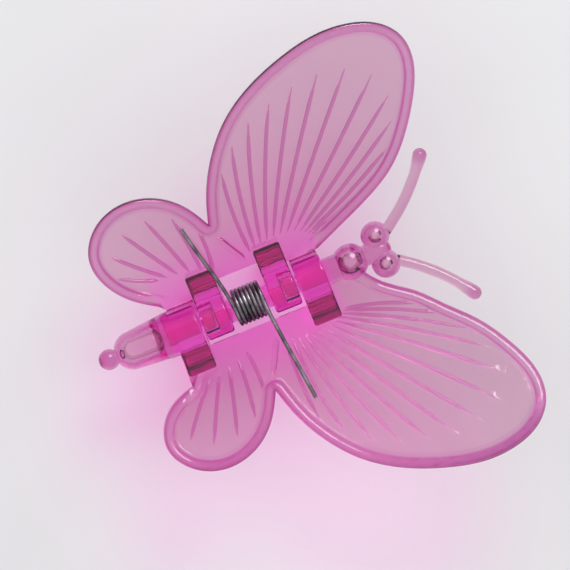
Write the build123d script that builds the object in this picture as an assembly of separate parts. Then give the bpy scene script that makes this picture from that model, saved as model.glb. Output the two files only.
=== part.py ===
from build123d import *
import math
import os

# An orchid clip in the shape of a butterfly, at its real size, in millimetres.
#
# It is three pieces: a right half and a left half, each one moulding of clear
# pink plastic, and a torsion spring of steel wire. The halves turn on one hinge
# along the butterfly's body. Pressing the wings up towards each other opens the
# claws below, and the spring closes them round a plant's stem and its stake.
#
# The origin is the middle of the gripped stem. +Y runs along the stem to the
# butterfly's head, +X to the end of its right wing, and +Z up through the hinge.
# The clip stands on the flat feet of its four claws. Both halves are worked out
# on the +X side, and the left one is mirrored when it is whole.

# Stem and hinge
stem_radius = 3.0                # the round stem that the closed claws hold
hinge_height = 5.3               # from the middle of the stem up to the hinge's axis
overrun = 1.0                    # how far cuts and joined solids run past a face

# Hinge knuckles: the inner pair is the left half's, the outer pair the right half's
knuckle_radius = 1.85
coil_bay = 4.0                   # between the inner knuckles, where the coil lies
inner_knuckle_length = 2.5
outer_knuckle_length = 2.6
knuckle_gap = 0.25               # running gap between neighbouring knuckles
knuckle_edge = 0.2               # rounding of the knuckles' rims
stud_radius = 0.9                # moulded studs that snap into the inner knuckles
stud_length = 1.4
stud_clearance = 0.06            # round the stud in its socket
socket_end_gap = 0.2             # past the stud's end
stud_edge = 0.25

# Torsion spring
wire_diameter = 0.36
coil_radius = 1.53               # to the middle of the wire
coil_turns = 4
coil_gap = 0.42                  # between neighbouring turns, opened out
coil_fit = 0.2                   # between the coil and the bosses that carry it
boss_length = 0.8
boss_edge = 0.25
right_leg_reach = 9.8            # from the hinge's axis to the leg's end, over the veins
left_leg_reach = 9.2             # to the other leg's end, over the hind wing's rim
leg_rest_gap = 0.08              # between a leg's end and what it lies on

# Claws
claw_thickness = 1.25            # beside the stem
claw_tip_thickness = 0.85
claw_tip_edge = 0.3
claw_wrap = 117                  # degrees from beside the stem to the claw's tip
web_start = 60                   # degrees up the stem, where the web leaves it
web_rise = 0.5                   # of the web's outer corner over the hinge's axis
foot_depth = 4.0                 # from the middle of the stem down to the feet
foot_relief = 0.22               # of the claw's round that the flat foot cuts off

# Wings, in plan
wing_span = 20.2                 # from the hinge's axis to the fore wing's edge
fore_reach = 21.5                # from the middle to the fore wing's foremost point
hind_span = 12.7
hind_reach = 11.9
cusp_x = 8.0                     # the notch between fore wing and hind wing
cusp_y = 0.7                     # behind the middle
root_gap = 0.35                  # between a wing's root and the knuckles it passes
coil_notch = 0.9                 # further out beside the coil, on the left half

# Wings, in section
wing_thickness = 0.9
rim_width = 1.0
rim_height = 0.7                 # over the wing's top
camber_radius = 90.0             # the wings curve up towards their edges
root_slope = 11                  # degrees at the hinge's axis
vein_height = 0.28
vein_root_width = 0.38
vein_tip_width = 0.3
fore_vein_count = 13
hind_vein_count = 6
vein_root_x = 3.9                # where the veins start
crease_width = 0.8               # the rib that carries the rim on from the notch
inset_steps = 16                 # places along an edge at which its rim's inner side is set

# Head
head_radius = 1.65
head_y = 9.8
neck_radius = 1.2
eye_radius = 1.3
eye_x = 1.35
eye_y = 12.7
brow_radius = 0.95               # the core that joins the eyes to the head
antenna_radius = 0.5
antenna_tip_radius = 0.64
antenna_spread = 6.6             # from the hinge's axis out to the tip
antenna_ahead = 2.8              # of the tip past the wing's leading edge beside it
antenna_rise = 1.3               # of the tip over the hinge's axis

# Tail
tail_radius = 2.1
tail_end_radius = 1.75
tail_reach = 12.9                # from the middle back to the tail's round end
bead_radius = 0.95               # the ball at the very end of the tail
bead_y = 13.45
core_wall = 0.85                 # of the head, eyes and tail, which are hollow from below

# The outlines' points, as shares of the span and the reach of their own wing.
# The two halves share the wings' outer edges and differ where they meet the body.
fore_edge_shares = [
    (0.322, 0.753), (0.436, 0.856), (0.579, 0.944), (0.743, 1.0), (0.852, 0.988),
    (0.938, 0.922), (0.990, 0.806), (1.0, 0.660), (0.965, 0.498), (0.896, 0.330),
    (0.792, 0.183), (0.653, 0.072), (0.515, 0.003),
]
left_lead_shares = [(0.114, 0.353), (0.165, 0.465), (0.230, 0.605)]
right_lead_shares = [(0.124, 0.541), (0.223, 0.662)]
head_joint_shares = (0.70, 0.42)       # where the right wing meets the head, of the head's radius
hind_edge_shares = [
    (0.780, -0.148), (0.913, -0.292), (0.990, -0.500), (0.978, -0.706), (0.890, -0.870),
]
left_tail_shares = [(0.701, -0.983), (0.488, -0.937), (0.323, -0.797), (0.213, -0.630)]
right_tail_shares = [(0.728, -0.972), (0.563, -0.930), (0.441, -0.790), (0.390, -0.625)]

# The veins, as shares of the reach at the root and of the way round the outer edge
fore_root_shares = (0.33, 0.09)
fore_aim_shares = (0.16, 0.86)
hind_root_shares = (-0.16, -0.55)
hind_aim_shares = (0.10, 0.72)
vein_start_share = 0.15              # of the way from the root to the edge, clear of its neighbour
vein_length_share = 0.86             # of the same way, to the vein's tip
vein_bow_share = 0.045               # of the vein's length
crease_root_share = 0.06             # of the fore reach

# The antennae, as shares of their spread and of the way from the eyes to the tip
antenna_root_share = 0.12
antenna_bend_shares = (0.42, 0.54)
antenna_bend_rise_share = 0.4

# Places that follow from the sizes
wire_radius = wire_diameter / 2
inner_start = coil_bay / 2
inner_end = inner_start + inner_knuckle_length
outer_start = inner_end + knuckle_gap
outer_end = outer_start + outer_knuckle_length
root_x = knuckle_radius + root_gap
claw_outer = stem_radius + claw_thickness
camber_x = -camber_radius * math.sin(math.radians(root_slope))
camber_z = hinge_height + camber_radius * math.cos(math.radians(root_slope))


def wing_top(x):
    """Height of the wing's top at x from the axis."""
    return camber_z - math.sqrt(camber_radius**2 - (x - camber_x) ** 2)


def camber_band(low, high):
    """The space between two surfaces that follow the wing's top, low and high over it."""
    centre = (camber_x, camber_z)
    turn = math.degrees(math.asin((wing_span + 2 * overrun - camber_x) / camber_radius))
    under = CenterArc(centre, camber_radius - low, -90, turn)
    over = CenterArc(centre, camber_radius - high, -90, turn)
    section = make_face([under, over, Line(under @ 0, over @ 0), Line(under @ 1, over @ 1)])
    return extrude(Plane.XZ * section, amount=fore_reach + overrun, both=True)


def column(plan):
    """The upright column over a plan outline, high enough for the whole wing."""
    return extrude(plan, amount=camber_radius, dir=(0, 0, 1))


def block(x_start, x_end, y_start, y_end):
    """A plan rectangle between four places."""
    centre = Pos((x_start + x_end) / 2, (y_start + y_end) / 2)
    return centre * Rectangle(x_end - x_start, y_end - y_start)


def points(shares, span, reach):
    """An outline's points in plan, from their shares of a span and a reach."""
    return [(x * span, y * reach) for x, y in shares]


def vein(root, tip, bow_share, root_width, tip_width):
    """The plan of one vein: two curved sides that close up from the root to the tip."""
    along = (tip - root).normalized()
    across = Vector(-along.Y, along.X)
    middle = (root + tip) * 0.5 + across * ((tip - root).length * bow_share)
    places = (root, middle, tip)
    halves = (root_width / 2, (root_width + tip_width) / 4, tip_width / 2)
    upper = Spline(*[place + across * half for place, half in zip(places, halves)])
    lower = Spline(*[place - across * half for place, half in zip(places, halves)])
    return make_face([upper, lower, Line(upper @ 0, lower @ 0), Line(upper @ 1, lower @ 1)])


def vein_fan(edge, count, root_shares, aim_shares, reach):
    """The plans of a wing's veins, fanned out from its root to its outer edge."""
    fan = []
    for i in range(count):
        share = i / max(count - 1, 1)
        root_share = root_shares[0] + (root_shares[1] - root_shares[0]) * share
        aim_share = aim_shares[0] + (aim_shares[1] - aim_shares[0]) * share
        start = Vector(vein_root_x, root_share * reach)
        way = edge @ aim_share - start
        root = start + way * vein_start_share
        tip = start + way * vein_length_share
        bow_share = vein_bow_share * (1 - 2 * share)
        fan.append(vein(root, tip, bow_share, vein_root_width, vein_tip_width))
    return fan


def inset(edge):
    """The rim's inner side: a curve beside an outline's edge, a rim's width inside it."""
    beside = []
    for i in range(inset_steps + 1):
        way = edge % (i / inset_steps)
        beside.append(edge @ (i / inset_steps) + Vector(way.Y, -way.X) * rim_width)
    return Spline(*beside)


def wing(lead, tail_shares, root_line, tabs):
    """A fore wing and hind wing in one plate, with its rim, veins and root tabs."""
    cusp = Vector(cusp_x, -cusp_y)
    fore = Spline(*lead, *points(fore_edge_shares, wing_span, fore_reach), cusp)
    hind = Spline(cusp, *points(hind_edge_shares + tail_shares, hind_span, hind_reach))
    plan = make_face([fore, hind, Polyline(hind @ 1, *root_line, fore @ 0)])
    fore_bed = inset(fore)
    hind_bed = inset(hind)
    corner = ThreePointArc(fore_bed @ 1, cusp - Vector(rim_width, 0), hind_bed @ 0)
    bed = make_face([fore_bed, corner, hind_bed, Polyline(hind_bed @ 1, *root_line, fore_bed @ 0)])
    pocket = column(bed + tabs) & camber_band(0, rim_height + overrun)
    plate = column(plan + tabs) & camber_band(-wing_thickness, rim_height)
    ribs = vein_fan(fore, fore_vein_count, fore_root_shares, fore_aim_shares, fore_reach)
    ribs += vein_fan(hind, hind_vein_count, hind_root_shares, hind_aim_shares, hind_reach)
    crease_root = Vector(vein_root_x, crease_root_share * fore_reach)
    ribs.append(vein(crease_root, cusp, 0, vein_root_width, crease_width))
    return plate - pocket + (column(Sketch() + ribs) & camber_band(-wing_thickness / 2, vein_height))


def both_ends(shape):
    """A shape at the head end of the hinge, and its mirror image at the tail end."""
    return shape + mirror(shape, about=Plane.XZ)


def bar(radius, start, end, edge=0):
    """A round bar along the hinge's axis, with both rims rounded if an edge is given."""
    body = Pos(0, start, hinge_height) * Rot(X=-90) * Cylinder(
        radius, end - start, align=(Align.CENTER, Align.CENTER, Align.MIN)
    )
    return fillet(body.edges().filter_by(GeomType.CIRCLE), edge) if edge else body


def claw(start, end):
    """A curved claw with the web that hangs it from its knuckle, between two stations."""
    tip = math.radians(-claw_wrap)
    web = math.radians(web_start)
    tip_outer = stem_radius + claw_tip_thickness
    outside = ThreePointArc(
        (claw_outer, 0),
        (0, -foot_depth - foot_relief),
        (tip_outer * math.cos(tip), tip_outer * math.sin(tip)),
    )
    inside = CenterArc((0, 0), stem_radius, -claw_wrap, claw_wrap + web_start)
    frame = Polyline(
        (stem_radius * math.cos(web), stem_radius * math.sin(web)),
        (0, hinge_height),
        (claw_outer, hinge_height + web_rise),
        (claw_outer, 0),
    )
    section = make_face([outside, inside, frame, Line(outside @ 1, inside @ 0)])
    section = fillet(section.vertices().sort_by(Axis.X)[:2], claw_tip_edge)
    return extrude(Plane.XZ.offset(-start) * section, amount=end - start, dir=(0, 1, 0))


def level_feet(half):
    """A half with its claws cut off flat where the clip stands."""
    ground = Box(
        2 * (claw_outer + overrun),
        2 * (outer_end + overrun),
        foot_relief + overrun,
        align=(Align.CENTER, Align.CENTER, Align.MAX),
    )
    return half - Pos(0, 0, -foot_depth) * ground


def turned(outline):
    """A solid turned about the hinge's axis from places along it and out from it."""
    plane = Plane(origin=(0, 0, hinge_height), x_dir=(0, 1, 0), z_dir=(1, 0, 0))
    return revolve(plane * make_face(outline), axis=Axis((0, 0, hinge_height), (0, 1, 0)))


def body_core():
    """The neck, the head ball and the core between the eyes, in one turned shape."""
    start = outer_end - knuckle_edge
    neck_y = head_y - math.sqrt(head_radius**2 - neck_radius**2)
    brow_y = head_y + math.sqrt(head_radius**2 - brow_radius**2)
    neck = Polyline((start, 0), (start, neck_radius), (neck_y, neck_radius))
    ball = ThreePointArc((neck_y, neck_radius), (head_y, head_radius), (brow_y, brow_radius))
    brow = Line((brow_y, brow_radius), (eye_y, brow_radius))
    front = RadiusArc((eye_y, brow_radius), (eye_y + brow_radius, 0), brow_radius)
    return turned([neck, ball, brow, front, Line(front @ 1, (start, 0))])


def head():
    """The neck, head, eyes and antennae."""
    root = Vector(antenna_root_share * antenna_spread, eye_y, hinge_height)
    beside = fore_edge_shares[0][1] * fore_reach
    tip = Vector(antenna_spread, beside + antenna_ahead, hinge_height + antenna_rise)
    way = tip - root
    bend = root + Vector(
        way.X * antenna_bend_shares[0],
        way.Y * antenna_bend_shares[1],
        way.Z * antenna_bend_rise_share,
    )
    path = ThreePointArc(root, bend, tip)
    antenna = sweep(Plane(origin=path @ 0, z_dir=path % 0) * Circle(antenna_radius), path=path)
    antenna += Pos(*tip) * Sphere(antenna_tip_radius)
    side = antenna + Pos(eye_x, eye_y, hinge_height) * Sphere(eye_radius)
    return body_core() + side + mirror(side, about=Plane.YZ)


def tail():
    """The tapered tail with its round end and the ball behind it."""
    start = knuckle_edge - outer_end
    taper_end = tail_end_radius - tail_reach
    front = Polyline((start, 0), (start, tail_radius), (taper_end, tail_end_radius))
    end = RadiusArc((taper_end, tail_end_radius), (-tail_reach, 0), -tail_end_radius)
    bead = Pos(0, -bead_y, hinge_height) * Sphere(bead_radius)
    return turned([front, end, Line(end @ 1, (start, 0))]) + bead


def core(radius, x, y):
    """The hollow inside a ball, open below, which leaves an even wall over it."""
    shaft = Cylinder(radius, tail_radius + overrun, align=(Align.CENTER, Align.CENTER, Align.MAX))
    return Pos(x, y, hinge_height) * (Sphere(radius) + shaft)


def cores():
    """The hollows of the head, the eyes and the tail."""
    eye_core = eye_radius - core_wall
    tail_core = tail_end_radius - core_wall
    tail_start = -outer_end - core_wall - tail_core
    tail_stop = tail_end_radius - tail_reach
    plan = block(-tail_core, tail_core, tail_stop, tail_start)
    trough = extrude(plan, amount=tail_radius + overrun, dir=(0, 0, -1))
    hollows = core(head_radius - core_wall, 0, head_y)
    hollows += core(eye_core, eye_x, eye_y) + core(eye_core, -eye_x, eye_y)
    hollows += core(tail_core, 0, tail_start) + core(tail_core, 0, tail_stop)
    return hollows + bar(tail_core, tail_stop, tail_start) + Pos(0, 0, hinge_height) * trough


def right_half():
    """The half with the outer knuckles, the studs, the head and the tail."""
    tuck = neck_radius / 2
    root_line = [(root_x, -outer_end), (root_x, outer_start), (tuck, outer_start), (tuck, head_y - tuck)]
    tab = block(0, root_x, -outer_end, -outer_start)
    lead = [(head_radius * head_joint_shares[0], head_y + head_radius * head_joint_shares[1])]
    lead += points(right_lead_shares, wing_span, fore_reach)
    half = wing(lead, right_tail_shares, root_line, tab)
    stud = bar(stud_radius, outer_start - stud_length, outer_start + overrun, stud_edge)
    knuckle = bar(knuckle_radius, outer_start, outer_end, knuckle_edge)
    half += both_ends(knuckle + stud + claw(outer_start, outer_end))
    return level_feet(half + head() + tail() - cores())


def left_half():
    """The half with the inner knuckles, their sockets and the spring's bosses."""
    root_line = [(root_x, -outer_end + root_gap), (root_x, outer_end - root_gap)]
    tabs = block(0, root_x, inner_start, inner_end) + block(0, root_x, -inner_end, -inner_start)
    lead = points(left_lead_shares, wing_span, fore_reach)
    half = wing(lead, left_tail_shares, root_line, tabs)
    knuckle = bar(knuckle_radius, inner_start, inner_end, knuckle_edge)
    half += both_ends(knuckle + claw(inner_start, inner_end))
    socket_start = outer_start - stud_length - socket_end_gap
    half -= both_ends(bar(stud_radius + stud_clearance, socket_start, inner_end + overrun))
    notch_width = 2 * (root_x + coil_notch)
    half -= Pos(0, 0, hinge_height) * Box(notch_width, coil_bay, 2 * knuckle_radius)
    boss_radius = coil_radius - wire_radius - coil_fit
    half += both_ends(bar(boss_radius, inner_start - boss_length, socket_start, boss_edge))
    return mirror(level_feet(half), about=Plane.YZ)


def biarc(start, start_way, end, end_way):
    """Two arcs that join two places and leave both along the ways given."""
    chord = end - start
    along = chord.dot(start_way + end_way)
    spread = 2 * (1 - start_way.dot(end_way))
    reach = (math.sqrt(along**2 + spread * chord.dot(chord)) - along) / spread
    joint = (start + end + (start_way - end_way) * reach) * 0.5
    first = TangentArc(start, joint, tangent=start_way)
    return [first, TangentArc(joint, end, tangent=first % 1)]


def leg_lift(reach, rest):
    """The angle at which a leg rises from the coil's top to what it lies on."""
    height = wing_top(reach) + rest + leg_rest_gap + wire_radius - hinge_height
    return math.acos(coil_radius / math.hypot(height, reach)) - math.atan2(reach, height)


def spring_line():
    """The middle of the spring's wire: a leg, the coil's turns and the other leg."""
    left_lift = leg_lift(left_leg_reach, rim_height)
    right_lift = leg_lift(right_leg_reach, vein_height)
    turned_angle = 2 * math.pi * coil_turns - left_lift - right_lift
    climb = (wire_diameter + coil_gap) / (2 * math.pi)
    quarters = 4 * coil_turns
    places = []
    ways = []
    for i in range(quarters + 1):
        angle = math.pi / 2 - left_lift - turned_angle * i / quarters
        across = Vector(math.cos(angle), 0, math.sin(angle)) * coil_radius
        middle = Vector(0, climb * turned_angle * (i / quarters - 0.5), hinge_height)
        places.append(middle + across)
        ways.append(Vector(across.Z, climb, -across.X).normalized())
    line = [Line(places[0] - ways[0] * leg_run(left_leg_reach, places[0], ways[0]), places[0])]
    for i in range(quarters):
        line += biarc(places[i], ways[i], places[i + 1], ways[i + 1])
    line.append(Line(places[-1], places[-1] + ways[-1] * leg_run(right_leg_reach, places[-1], ways[-1])))
    return line


def leg_run(reach, place, way):
    """A leg's length, from where it leaves the coil, past the axis, to its reach."""
    return (reach + abs(place.X)) / abs(way.X)


def torsion_spring():
    """The wire, swept in one unbroken tube, and the middle line that it follows."""
    line = Wire(spring_line())
    section = Plane(origin=line @ 0, z_dir=line % 0) * Circle(wire_radius)
    return sweep(section, path=line), line


def least_gap(line, diameter):
    """The least gap of a tube to itself, over all its places more than half a turn apart."""
    samples = 400
    apart = math.ceil(samples * math.pi * coil_radius / line.length)
    places = [line @ (i / samples) for i in range(samples + 1)]
    return min(
        (places[i] - places[j]).length - diameter
        for i in range(samples + 1)
        for j in range(i + apart, samples + 1)
    )


os.makedirs("parts", exist_ok=True)
spring, spring_middle = torsion_spring()
print("least gap of the coil to itself", round(least_gap(spring_middle, wire_diameter), 3))
print("the wire's length", round(spring_middle.length, 2))
print("the tube's volume", round(spring.volume, 3))
print("its section times its length", round(math.pi * wire_radius**2 * spring_middle.length, 3))
pieces = {"right_half": right_half(), "left_half": left_half(), "torsion_spring": spring}
for name, shape in pieces.items():
    export_step(shape, f"parts/{name}.step")
    print(name, len(shape.solids()), "solid", round(shape.volume, 1), "mm3", shape.is_valid)
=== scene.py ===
# %% [markdown]
# # A butterfly clip for orchid stems
# The real object is a spring clip as long as a finger joint. Two mouldings of clear
# pink plastic turn on one hinge, and a steel spring keeps their claws closed round a
# plant's stem and its stake. This lesson dresses the CAD model of that clip: it keeps
# the CAD sizes and adds the soft edges, veins and colours that the eye looks for.

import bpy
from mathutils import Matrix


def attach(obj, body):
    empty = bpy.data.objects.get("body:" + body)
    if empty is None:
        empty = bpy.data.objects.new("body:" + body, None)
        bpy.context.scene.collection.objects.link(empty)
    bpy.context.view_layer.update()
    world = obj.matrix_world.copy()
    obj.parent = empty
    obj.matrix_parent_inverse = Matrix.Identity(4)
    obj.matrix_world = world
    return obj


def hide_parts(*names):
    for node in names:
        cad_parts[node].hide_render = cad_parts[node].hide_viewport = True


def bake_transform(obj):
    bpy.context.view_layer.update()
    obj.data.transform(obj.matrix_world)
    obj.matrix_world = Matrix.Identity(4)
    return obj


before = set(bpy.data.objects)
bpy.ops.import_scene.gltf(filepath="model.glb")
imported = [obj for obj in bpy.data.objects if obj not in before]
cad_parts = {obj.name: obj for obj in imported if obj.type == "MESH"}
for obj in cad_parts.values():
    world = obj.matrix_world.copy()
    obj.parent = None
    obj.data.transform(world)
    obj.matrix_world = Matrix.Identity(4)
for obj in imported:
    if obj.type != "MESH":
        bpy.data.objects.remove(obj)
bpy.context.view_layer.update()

# %% [markdown]
# The frame is in metres, and the clip is small, so its sizes are easier to read in
# millimetres. Every shape below is modelled in millimetres and is made smaller by a
# thousand once it is whole. That also keeps Blender's merging distances sensible.

# %% Imports and the unit
import math

import bmesh
import bpy
import numpy as np
from mathutils import Matrix, Vector

MM = 0.001
HINGE = Vector((0, 0, 5.3))
print("the hinge's axis lies", HINGE.z, "mm over the middle of the stem")


# %% [markdown]
# A bmesh only becomes something to look at when it is put in an object. The halves of
# the clip are each one moulding, so their parts are first made as loose shapes and then
# fused. A clear plastic shows every wall inside it, and so loose shapes that merely
# overlap would look wrong. The Boolean modifier does the fusing, and its result is
# copied to a plain mesh.

# %% Helpers that make and fuse shapes
MERGE = 1e-4


def shape(name, bm):
    """An object in millimetres from a bmesh, with its faces turned outwards."""
    bmesh.ops.remove_doubles(bm, verts=bm.verts, dist=MERGE)
    bmesh.ops.recalc_face_normals(bm, faces=bm.faces)
    mesh = bpy.data.meshes.new(name)
    bm.to_mesh(mesh)
    bm.free()
    made = bpy.data.objects.new(name, mesh)
    bpy.context.scene.collection.objects.link(made)
    return made


def apply_modifiers(obj):
    """Gives an object the plain mesh that its modifiers make."""
    changed = obj.evaluated_get(bpy.context.evaluated_depsgraph_get())
    whole = bpy.data.meshes.new_from_object(changed)
    obj.modifiers.clear()
    obj.data = whole


def fuse(base, other, operation="UNION"):
    """Joins another shape to a base, or cuts it away, and removes the other one."""
    step = base.modifiers.new("fuse", "BOOLEAN")
    step.operation = operation
    step.solver = "MANIFOLD"
    step.object = other
    apply_modifiers(base)
    bpy.data.objects.remove(other)


def open_edges(obj):
    """The number of edges that don't have exactly two faces."""
    bm = bmesh.new()
    bm.from_mesh(obj.data)
    count = sum(len(edge.link_faces) != 2 for edge in bm.edges)
    bm.free()
    return count


def tell(obj):
    """Prints how many faces a shape has and how many of its edges are open."""
    print(obj.name, len(obj.data.polygons), "faces,", open_edges(obj), "open edges")


# %% [markdown]
# The wings' outlines are free curves through a few places, the same places that the CAD
# uses. A curve through given places needs one cubic per span, with slopes and bends that
# agree where they meet. A small system of equations finds them. The edge is kept as a
# dense line that can be asked for the place at any share of its length.

# %% The curve through an outline's places
def smooth_edge(places, samples=1500):
    """A dense smooth line through places, and the length up to each of its points."""
    knots = np.array([tuple(place)[:2] for place in places], float)
    at = np.concatenate([[0], np.cumsum(np.linalg.norm(np.diff(knots, axis=0), axis=1))])
    steps = np.diff(at)
    count = len(knots)
    system = np.eye(count)
    bends = np.zeros((count, 2))
    for i in range(1, count - 1):
        system[i, i - 1 : i + 2] = steps[i - 1], 2 * (steps[i - 1] + steps[i]), steps[i]
        slope_after = (knots[i + 1] - knots[i]) / steps[i]
        slope_before = (knots[i] - knots[i - 1]) / steps[i - 1]
        bends[i] = 6 * (slope_after - slope_before)
    bends = np.linalg.solve(system, bends)
    fine = np.linspace(0, at[-1], samples)
    span = np.clip(np.searchsorted(at, fine) - 1, 0, count - 2)
    left = ((fine - at[span]) / steps[span])[:, None]
    right = 1 - left
    square = (steps[span] ** 2)[:, None] / 6
    line = right * knots[span] + left * knots[span + 1]
    line += square * ((right**3 - right) * bends[span] + (left**3 - left) * bends[span + 1])
    length = np.concatenate([[0], np.cumsum(np.linalg.norm(np.diff(line, axis=0), axis=1))])
    return length / length[-1], line


def on_edge(edge, share):
    """The place at a share of an edge's length."""
    return Vector([np.interp(share, edge[0], edge[1][:, axis]) for axis in (0, 1)])


def inward(edge, share):
    """The direction into the wing at a share of an edge's length."""
    reach = 0.004
    along = on_edge(edge, min(share + reach, 1)) - on_edge(edge, max(share - reach, 0))
    return Vector((along.y, -along.x)).normalized()


# %% The wings' outlines
WING_SPAN = 20.199
FORE_REACH = 21.499
HIND_SPAN = 12.7
HIND_REACH = 11.9
CUSP = Vector((8.0, -0.7))
FORE_EDGE_SHARES = [
    (0.322, 0.753), (0.436, 0.856), (0.579, 0.944), (0.743, 1.0), (0.852, 0.988),
    (0.938, 0.922), (0.990, 0.806), (1.0, 0.660), (0.965, 0.498), (0.896, 0.330),
    (0.792, 0.183), (0.653, 0.072), (0.515, 0.003),
]
LEFT_LEAD_SHARES = [(0.114, 0.353), (0.165, 0.465), (0.230, 0.605)]
RIGHT_LEAD_SHARES = [(0.0572, 0.488), (0.124, 0.541), (0.223, 0.662)]
HIND_EDGE_SHARES = [
    (0.780, -0.148), (0.913, -0.292), (0.990, -0.500), (0.978, -0.706), (0.890, -0.870),
]
LEFT_TAIL_SHARES = [(0.701, -0.983), (0.488, -0.937), (0.323, -0.797), (0.213, -0.630)]
RIGHT_TAIL_SHARES = [(0.728, -0.972), (0.563, -0.930), (0.441, -0.790), (0.390, -0.625)]


def outlines(lead_shares, tail_shares):
    """The edge of a fore wing, from the body to the notch, and of a hind wing, on from there."""
    fore = [(x * WING_SPAN, y * FORE_REACH) for x, y in lead_shares + FORE_EDGE_SHARES]
    hind = [(x * HIND_SPAN, y * HIND_REACH) for x, y in HIND_EDGE_SHARES + tail_shares]
    return smooth_edge([*fore, CUSP]), smooth_edge([CUSP, *hind])


left_edges = outlines(LEFT_LEAD_SHARES, LEFT_TAIL_SHARES)
right_edges = outlines(RIGHT_LEAD_SHARES, RIGHT_TAIL_SHARES)
print("the right wing reaches", [round(float(v), 2) for v in right_edges[0][1].max(0)], "mm")


# %% [markdown]
# A wing is a thin curved plate with a raised rim round it and veins that fan out over
# it. One closed grid could hold all of that, but its lines would fold where the outline
# curls back beside the tail. So the rim is a strip that follows the edge, the inside is
# filled flat from the strip to the body, and the whole sheet is bent afterwards. The
# plate curves in one direction only, so a few straight cuts across it are enough.

# %% The wing's sizes
WING_THICKNESS = 0.9
CAMBER_RADIUS = 90.0
ROOT_SLOPE = math.radians(11)
CAMBER_X = -CAMBER_RADIUS * math.sin(ROOT_SLOPE)
CAMBER_Z = HINGE.z + CAMBER_RADIUS * math.cos(ROOT_SLOPE)
RIM_SECTION = [
    (1.16, 0.0), (1.07, 0.04), (1.0, 0.12), (0.95, 0.24), (0.90, 0.39), (0.84, 0.52), (0.75, 0.62),
    (0.64, 0.68), (0.52, 0.70), (0.40, 0.69), (0.27, 0.645), (0.16, 0.56), (0.07, 0.44),
    (0.02, 0.31), (0.0, 0.18),
]
UNDER_EDGE = 0.3
RIM_END = 1.6
COLUMN_STEP = 0.3
NOTCH_COLUMNS = 12


def wing_top(x):
    """The height of the wing's top at a distance from the hinge's axis."""
    return CAMBER_Z - math.sqrt(CAMBER_RADIUS**2 - (x - CAMBER_X) ** 2)


def soft_step(low, high, value):
    """A smooth rise from 0 at low to 1 at high."""
    share = min(max((value - low) / (high - low), 0), 1)
    return share * share * (3 - 2 * share)


print("the wing's edge lies", round(wing_top(WING_SPAN), 2), "mm over the stem's middle")


# %% The columns across the rim
def edge_length(edge):
    """The length of an edge."""
    return float(np.linalg.norm(np.diff(edge[1], axis=0), axis=1).sum())


def rim_columns(edges):
    """(place on the edge, direction into the wing, rise) all along both edges of a side."""
    fore, hind = edges
    found = []
    for edge, end in ((fore, 0), (hind, 1)):
        length = edge_length(edge)
        count = round(length / COLUMN_STEP)
        for i in range(count + 1):
            share = i / count
            rise = soft_step(0, RIM_END, abs(end - share) * length)
            found.append((on_edge(edge, share), inward(edge, share), rise))
        if edge is fore:
            before, after = inward(fore, 1), inward(hind, 0)
            turn = before.angle_signed(after)
            for k in range(1, NOTCH_COLUMNS):
                way = before.copy()
                way.rotate(Matrix.Rotation(-turn * k / NOTCH_COLUMNS, 2))
                found.append((CUSP, way, 1.0))
    return found


# %% The plate of one side
def wing_plate(name, edges, root_line):
    """A closed plate with its rim, from a side's edges and the line along the body."""
    columns = rim_columns(edges)
    ends = len(columns) - 1
    rows = len(RIM_SECTION) - 1
    bm = bmesh.new()
    depth = bm.verts.layers.float.new("rim_depth")
    height = bm.verts.layers.float.new("rim_rise")
    bmesh.ops.create_grid(bm, x_segments=ends, y_segments=rows, size=1)
    at = {}
    for vert in bm.verts:
        i = round((vert.co.x + 1) / 2 * ends)
        j = round((vert.co.y + 1) / 2 * rows)
        place, way, rise = columns[i]
        distance, over = RIM_SECTION[j]
        vert.co = (*(place + way * distance), 0)
        vert[depth] = distance
        vert[height] = over * rise
        at[i, j] = vert
    border = [at[0, j] for j in range(rows, -1, -1)] + [at[i, 0] for i in range(1, ends + 1)]
    border += [at[ends, j] for j in range(1, rows + 1)]
    for x, y in root_line:
        vert = bm.verts.new((x, y, 0))
        vert[depth] = RIM_SECTION[0][0]
        border.append(vert)
    loop = []
    for first, second in zip(border, border[1:] + border[:1]):
        loop.append(bm.edges.get((first, second)) or bm.edges.new((first, second)))
    inside = bmesh.ops.triangle_fill(bm, use_beauty=True, edges=loop, normal=(0, 0, 1))["geom"]
    triangles = [piece for piece in inside if isinstance(piece, bmesh.types.BMFace)]
    print(name, "inside filled with", len(triangles), "triangles")
    for x in range(1, round(WING_SPAN)):
        bmesh.ops.bisect_plane(
            bm, geom=bm.verts[:] + bm.edges[:] + bm.faces[:], plane_co=(x, 0, 0), plane_no=(1, 0, 0)
        )
    for vert in bm.verts:
        vert.co.z = wing_top(vert.co.x) + vert[height]
    below = bmesh.ops.extrude_face_region(bm, geom=bm.faces[:])
    for vert in below["geom"]:
        if isinstance(vert, bmesh.types.BMVert):
            inset = max(UNDER_EDGE - vert[depth], 0)
            lift = UNDER_EDGE - math.sqrt(UNDER_EDGE**2 - inset**2)
            vert.co.z = wing_top(vert.co.x) - WING_THICKNESS + lift
    return shape(name, bm)


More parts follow.
